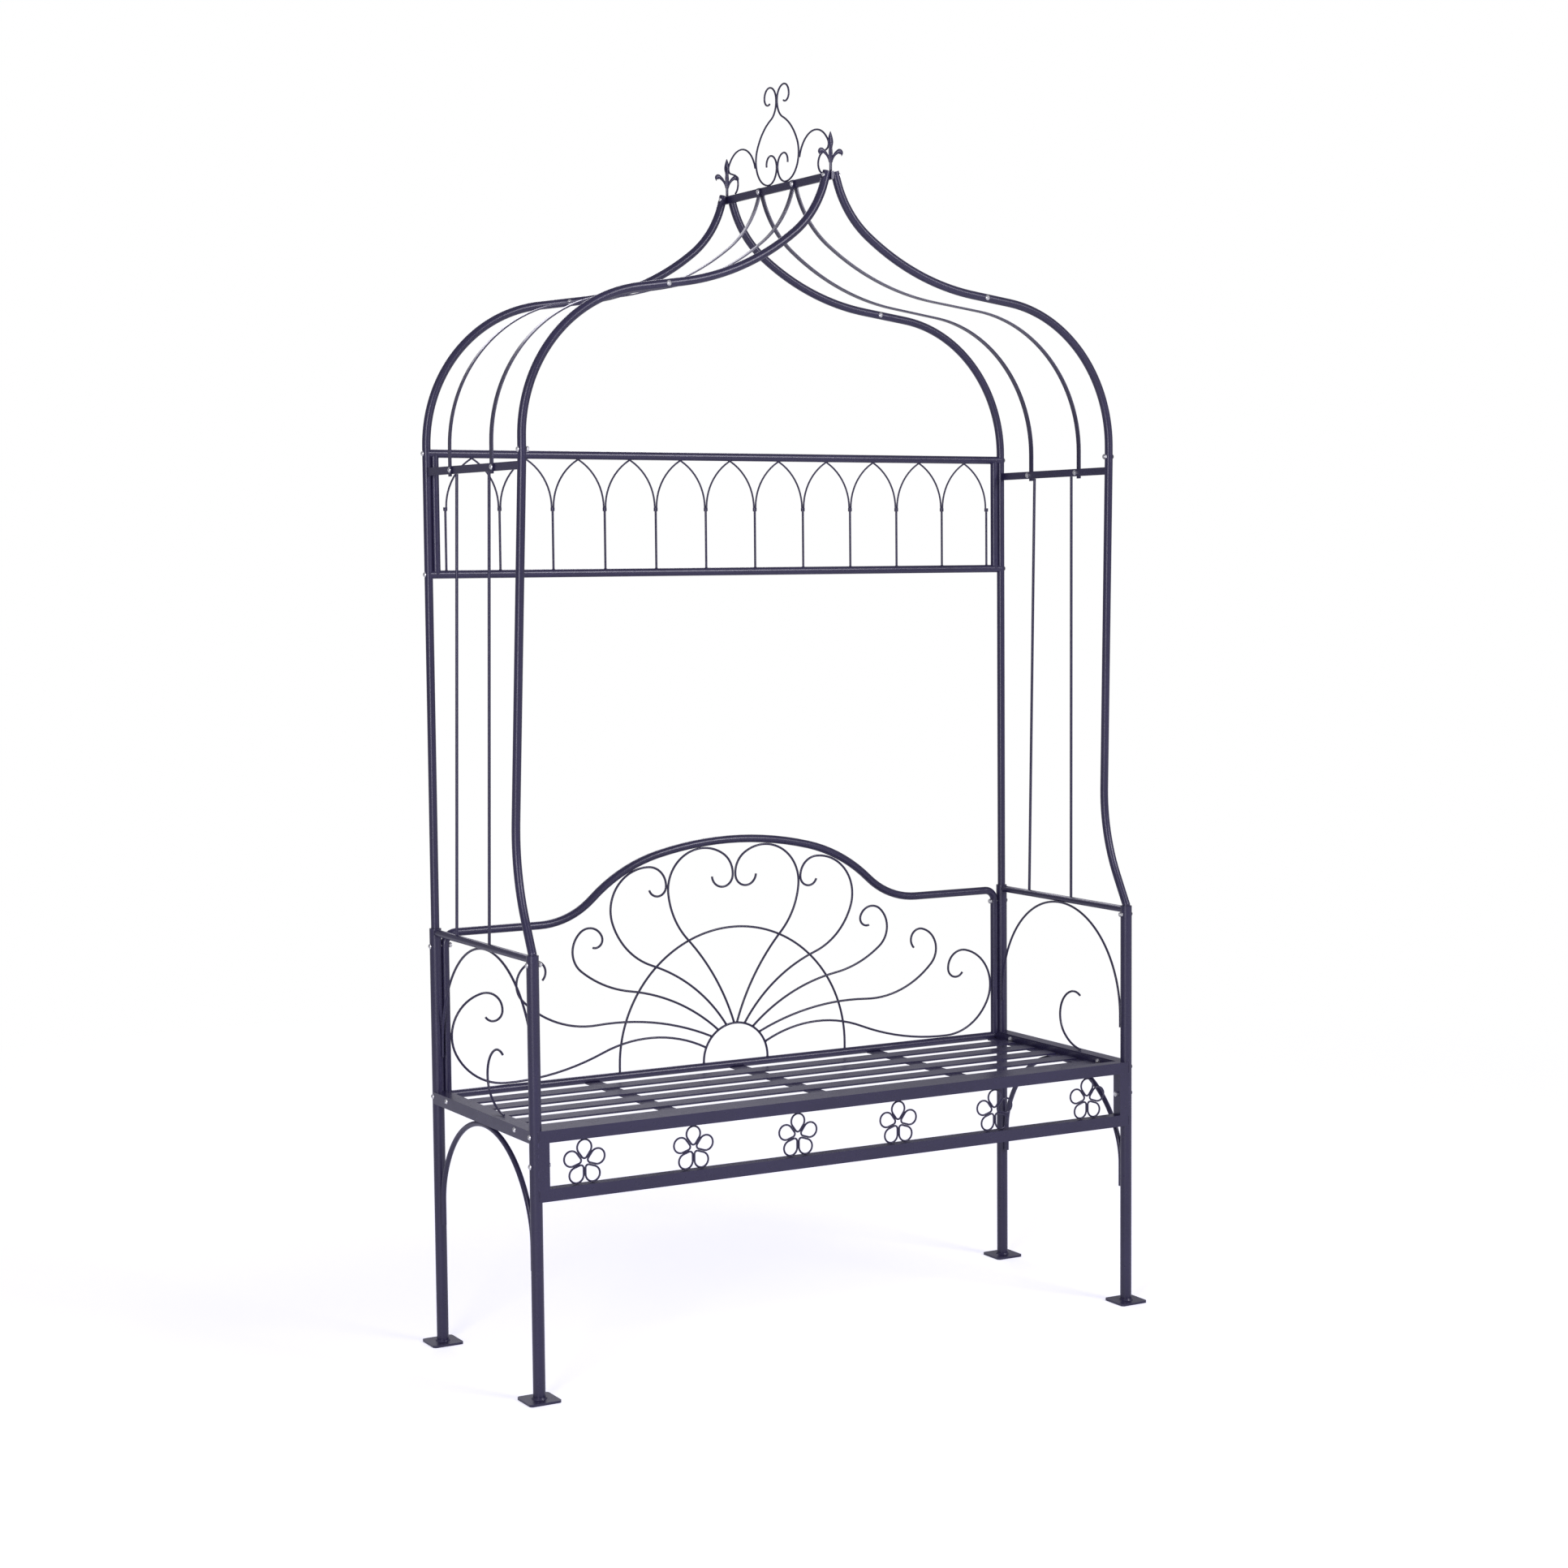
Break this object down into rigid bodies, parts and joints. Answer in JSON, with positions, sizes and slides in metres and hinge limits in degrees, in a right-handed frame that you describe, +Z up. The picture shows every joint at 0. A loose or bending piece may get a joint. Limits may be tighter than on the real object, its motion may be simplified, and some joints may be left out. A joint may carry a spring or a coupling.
{
  "type": "garden arch with bench",
  "caption": "Free-standing tubular steel garden arch with a slatted bench, scrolled backrest, armrests, arched header panel and a wire crown on its ogee roof.",
  "frame": {"origin": "centre of the bounding box's footprint, on the ground under the foot plates", "axes": "+Z up, +X to the right of someone who faces the seat, +Y to the back, behind the backrest"},
  "size_m": [1.205, 0.447, 2.1284],
  "materials": {
    "coated_steel": "satin dark violet grey powder coat",
    "fasteners": "bright zinc plate",
    "inner_steel": "plain steel, hidden inside the tubes"
  },
  "bodies": {
    "root": {"leg_front_left": "coated_steel", "leg_front_right": "coated_steel", "leg_rear_left": "coated_steel", "leg_rear_right": "coated_steel", "foot_plates": "coated_steel", "post_front_left": "coated_steel", "post_front_right": "coated_steel", "post_rear_left": "coated_steel", "post_rear_right": "coated_steel", "shoulder_tube_front_left": "coated_steel", "shoulder_tube_front_right": "coated_steel", "shoulder_tube_rear_left": "coated_steel", "shoulder_tube_rear_right": "coated_steel", "crown_tube_front_left": "coated_steel", "crown_tube_front_right": "coated_steel", "crown_tube_rear_left": "coated_steel", "crown_tube_rear_right": "coated_steel", "joint_pins": "inner_steel", "rib_front_left": "coated_steel", "rib_front_right": "coated_steel", "rib_rear_left": "coated_steel", "rib_rear_right": "coated_steel", "ridge_bar": "coated_steel", "eaves_bar_left": "coated_steel", "eaves_bar_right": "coated_steel", "side_rods_left": "coated_steel", "side_rods_right": "coated_steel", "finials": "coated_steel", "crown_scroll": "coated_steel", "armrest_left": "coated_steel", "armrest_right": "coated_steel", "side_scroll_left": "coated_steel", "side_scroll_right": "coated_steel", "leg_arch_left": "coated_steel", "leg_arch_right": "coated_steel", "header_top_rail": "coated_steel", "header_low_rail": "coated_steel", "header_stiles": "coated_steel", "header_arches": "coated_steel", "header_rods": "coated_steel", "header_collars": "coated_steel", "backrest_frame": "coated_steel", "backrest_low_rail": "coated_steel", "small_sun": "coated_steel", "large_sun": "coated_steel", "heart_scrolls": "coated_steel", "upper_rays": "coated_steel", "middle_rays": "coated_steel", "lower_rays": "coated_steel", "end_scrolls": "coated_steel", "seat_front_rail": "coated_steel", "seat_side_rails": "coated_steel", "seat_end_angles": "coated_steel", "seat_cross_bars": "coated_steel", "seat_slats": "coated_steel", "apron_rail": "coated_steel", "apron_stiles": "coated_steel", "apron_flowers": "coated_steel", "screws": "fasteners", "nuts_and_inserts": "fasteners"}
  },
  "joints": []
}
